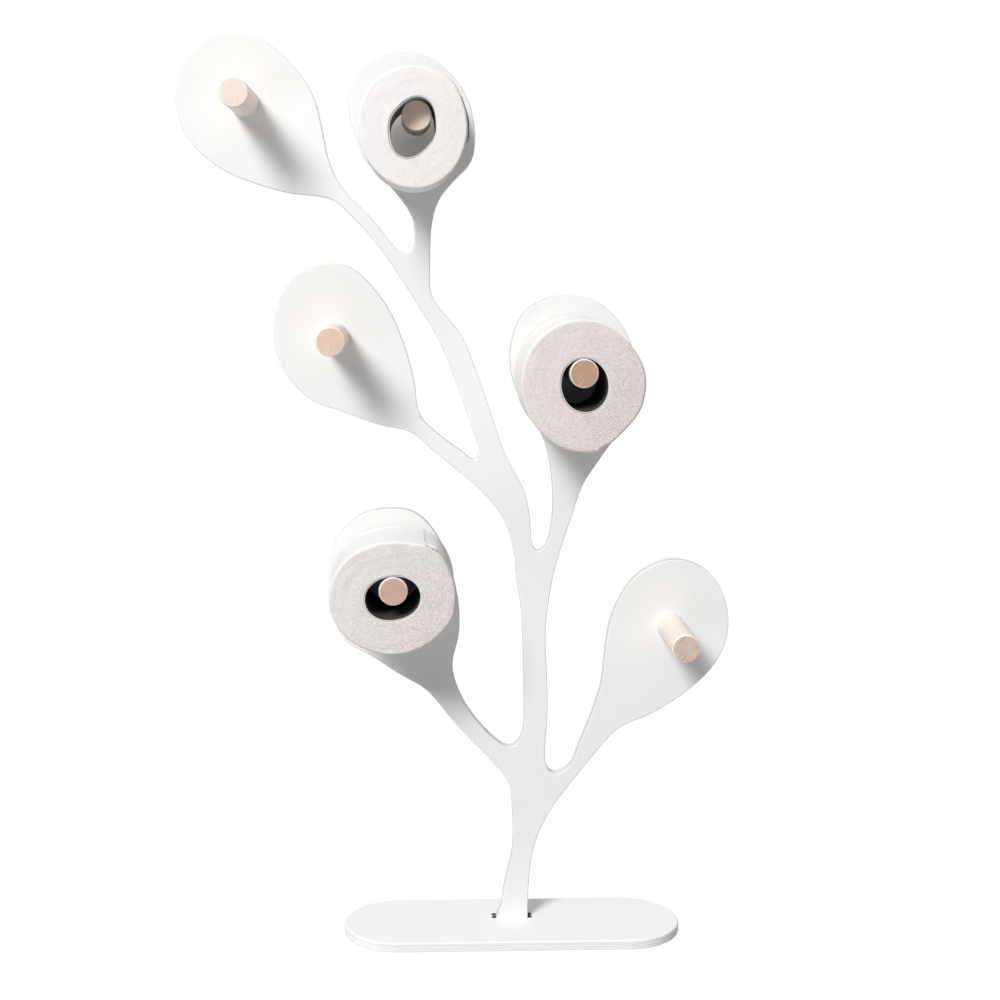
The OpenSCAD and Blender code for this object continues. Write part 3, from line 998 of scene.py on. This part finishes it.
def buildTubes():
    for key, roll in rolls.items():
        centre, front, back = rollPlace(key)
        piece = forwardCylinder(
            nameWith("tube", key), card["sides"], roll["tubeInside"], back - front,
            centre, "NOTHING",
        )
        for vert in piece.data.vertices:
            angle = roundFrom(centre, vert.co)[0]
            turn = math.radians(angle)
            reach = tubeInside(roll, angle)
            vert.co.x = centre.x + reach * math.cos(turn)
            vert.co.z = centre.z + reach * math.sin(turn)
            if vert.co.y < centre.y:
                around = card["raggedRate"]
                ragged = noise.noise(Vector((
                    math.cos(turn) * around, roll["seed"], math.sin(turn) * around
                )))
                vert.co.y += card["recess"] + card["rimWave"] * (1 + ragged)
        applyModifier(piece, "SOLIDIFY", thickness=winding["tubeWall"], offset=1.0)
        applyModifier(
            piece, "BEVEL", width=card["rimEasing"], segments=2,
            limit_method="ANGLE", angle_limit=math.radians(50),
        )
        smoothSkin(piece, 40)
        dress(piece, tubeCard("tube card " + key.replace("_", " "), centre, roll["card"]))
        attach(piece, "tube_" + key)
        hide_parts("tube_" + key)
    print("tubes:", len(rolls))


# The loose ends of the last sheets. Each runs from where it leaves the roll to its
# free edge, in degrees. Lift is how far the free edge stands off, shy how far its front
# edge lies behind the roll's face, reach how far the sheet goes back from there and
# flare how much nearer the roll its front edge stays. Curl says how late it lifts, ruffle
# how wavy it is and torn how ragged its free edge is.
looseEnds = {
    "top_middle": {
        "leaves": 38, "ends": -8, "lift": 0.0027, "curl": 1.5, "ruffle": 0.0009,
        "shy": 0.0016, "torn": 0.08, "reach": 0.0848, "flare": 0.5,
    },
    "lower_left": {
        "leaves": 60, "ends": 49, "lift": 0.0011, "curl": 1.6, "ruffle": 0.0010,
        "shy": 0.0028, "torn": 0.5, "reach": 0.013, "flare": 0.0,
    },
}
# A sheet's run goes from the roll to its free edge, and its side from front to back, both
# from 0 to 1. Each ruffle has its share and the noise's scale on the run and the side.
looseSheet = {
    "across": 44, "along": 60, "thickness": 0.00022, "off": 0.00035,
    "tearRate": 106, "ruffles": ((1.0, 3.5, 5), (0.5, 8, 11)), "growRate": 6,
    "flareRate": 12,
}


def buildLooseEnds():
    for key, end in looseEnds.items():
        roll = rolls[key]
        centre, front, back = rollPlace(key)
        clearSelection()
        bpy.ops.mesh.primitive_grid_add(
            x_subdivisions=looseSheet["across"], y_subdivisions=looseSheet["along"], size=1
        )
        piece = bpy.context.object
        piece.name = nameWith("looseEnd", key)
        piece.data.name = piece.name
        for vert in piece.data.vertices:
            run, side = vert.co.x + 0.5, vert.co.y + 0.5
            tear = Vector((side * end["reach"] * looseSheet["tearRate"], roll["seed"], 0))
            torn = noise.noise(tear) * end["torn"] * run
            angle = end["leaves"] + (end["ends"] - end["leaves"]) * (run + torn)
            turn = math.radians(angle)
            ruffle = sum(
                share * noise.noise(Vector((run * runRate, side * sideRate, roll["seed"])))
                for share, runRate, sideRate in looseSheet["ruffles"]
            )
            # It grows out of the roll's own surface
            grown = min(1.0, run * looseSheet["growRate"])
            reach = paperEnd(roll, angle) + looseSheet["off"] * (2 * grown - 1)
            nearFront = max(0.0, 1 - side * looseSheet["flareRate"])
            lift = end["lift"] * (1 - end["flare"] * nearFront)
            reach += run ** end["curl"] * (lift + end["ruffle"] * ruffle)
            vert.co = Vector((
                centre.x + reach * math.cos(turn),
                front + end["shy"] + side * end["reach"],
                centre.z + reach * math.sin(turn),
            ))
        if end["ends"] < end["leaves"]:
            startEditing(piece)
            bpy.ops.mesh.select_all(action="SELECT")
            bpy.ops.mesh.flip_normals()
            stopEditing()
        applyModifier(piece, "SOLIDIFY", thickness=looseSheet["thickness"], offset=0.0)
        writeDepth(piece, roll, centre)
        makeActive(piece)
        bpy.ops.object.shade_smooth_by_angle(angle=math.radians(60))
        dress(piece, bpy.data.materials["tissue " + key.replace("_", " ")])
        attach(piece, "roll_" + key)
    print("loose ends:", len(looseEnds))


# A plain white floor. The camera sees it glow white under a faint shadow, and wholly
# white farther out; the object is lit by it as by pale paper.
studio = {
    "floorSize": 12.0, "paper": 0.48, "shadowPaper": 0.12, "glow": 0.93,
    "glowNear": 0.5, "glowFar": 1.3, "underBase": 0.05,
    "fillLevel": 0.06, "fillAbove": 1.0, "fillRise": 3.0,
    "keyPlace": (-3.21, -5.33, 4.99), "keySize": 2.3, "keyPower": 558.0,
    "aim": (0.0, 0.0, 0.45),
}


def lightPathCamera(tree):
    # 1 for the camera's own view, straight, mirrored or through glass
    path = addNode(tree, "LightPath")
    seen = maths(tree, "MAXIMUM", path.outputs["Is Camera Ray"],
                 path.outputs["Is Glossy Ray"])
    return maths(tree, "MAXIMUM", seen, path.outputs["Is Transmission Ray"])


def buildFloor():
    clearSelection()
    bpy.ops.mesh.primitive_plane_add(size=studio["floorSize"], location=(0, 0, -0.0002))
    floor = bpy.context.object
    floor.name = "floor"
    bpy.ops.object.transform_apply(location=True, rotation=True, scale=True)
    material = bpy.data.materials.new("white paper floor")
    material.use_nodes = True
    tree = material.node_tree
    tree.nodes.clear()
    bounce = addNode(tree, "BsdfDiffuse", {"Color": (studio["paper"],) * 3 + (1,)})
    shadowed = addNode(tree, "BsdfDiffuse", {"Color": (studio["shadowPaper"],) * 3 + (1,)})
    place = addNode(tree, "TexCoord")
    away = addNode(tree, "VectorMath", operation="LENGTH")
    join(tree, place.outputs["Object"], away.inputs[0])
    glow = addNode(tree, "Emission", {"Color": (1, 1, 1, 1)})
    bright = rangeOf(tree, away.outputs["Value"], studio["glowNear"], studio["glowFar"],
                     studio["glow"], 1.0)
    # Under the base, where the slot's reliefs open on the floor, it is dark
    clear = maths(tree, "GREATER_THAN", away.outputs["Value"], studio["underBase"])
    join(tree, maths(tree, "MULTIPLY", bright, clear), glow.inputs["Strength"])
    seen = addNode(tree, "AddShader")
    join(tree, shadowed.outputs[0], seen.inputs[0])
    join(tree, glow.outputs[0], seen.inputs[1])
    choose = addNode(tree, "MixShader")
    join(tree, lightPathCamera(tree), choose.inputs[0])
    join(tree, bounce.outputs[0], choose.inputs[1])
    join(tree, seen.outputs[0], choose.inputs[2])
    end = addNode(tree, "OutputMaterial")
    join(tree, choose.outputs[0], end.inputs["Surface"])
    floor.data.materials.append(material)


def buildLight():
    world = bpy.data.worlds.new("white room")
    scene.world = world
    world.use_nodes = True
    tree = world.node_tree
    tree.nodes.clear()
    white = addNode(tree, "Background", {"Color": (1, 1, 1, 1), "Strength": 1.0})
    # The room is brighter towards its ceiling
    way = addNode(tree, "TexCoord")
    parts = addNode(tree, "SeparateXYZ")
    join(tree, way.outputs["Generated"], parts.inputs[0])
    fill = addNode(tree, "Background", {"Color": (1, 1, 1, 1)})
    height = maths(tree, "MAXIMUM", parts.outputs[2], 0.0)
    height = maths(tree, "POWER", height, studio["fillRise"])
    join(tree, rangeOf(tree, height, 0.0, 1.0, studio["fillLevel"], studio["fillAbove"]),
         fill.inputs["Strength"])
    choose = addNode(tree, "MixShader")
    join(tree, lightPathCamera(tree), choose.inputs[0])
    join(tree, fill.outputs[0], choose.inputs[1])
    join(tree, white.outputs[0], choose.inputs[2])
    end = addNode(tree, "OutputWorld")
    join(tree, choose.outputs[0], end.inputs["Surface"])

    clearSelection()
    aim = Vector(studio["aim"])
    spot = Vector(studio["keyPlace"])
    bpy.ops.object.light_add(type="AREA", location=spot)
    key = bpy.context.object
    key.name = "keyLamp"
    key.data.size = studio["keySize"]
    key.data.energy = studio["keyPower"]
    key.rotation_euler = (aim - spot).to_track_quat("-Z", "Y").to_euler()


# The photographer's place: a little to the left, above the middle, looking down
view = {
    "place": (-0.1002, -1.4665, 0.6343), "turn": -3.297, "down": 8.636, "tilt": 0.59,
    "lens": 58.74,
}


def buildCamera():
    clearSelection()
    bpy.ops.object.camera_add()
    camera = bpy.context.object
    camera.name = "photographCamera"
    camera.data.lens = view["lens"]
    camera.data.sensor_width = 36.0
    turned = (
        Matrix.Rotation(math.radians(view["turn"]), 4, "Z")
        @ Matrix.Rotation(math.radians(90 - view["down"]), 4, "X")
        @ Matrix.Rotation(math.radians(view["tilt"]), 4, "Z")
    )
    camera.matrix_world = Matrix.Translation(view["place"]) @ turned
    scene.camera = camera


buildTreePanel()
buildBasePlate()
buildPegs()
dressScrews()
buildPaper()
buildTubes()
buildLooseEnds()
buildFloor()
buildLight()
buildCamera()

print("all pieces in place")
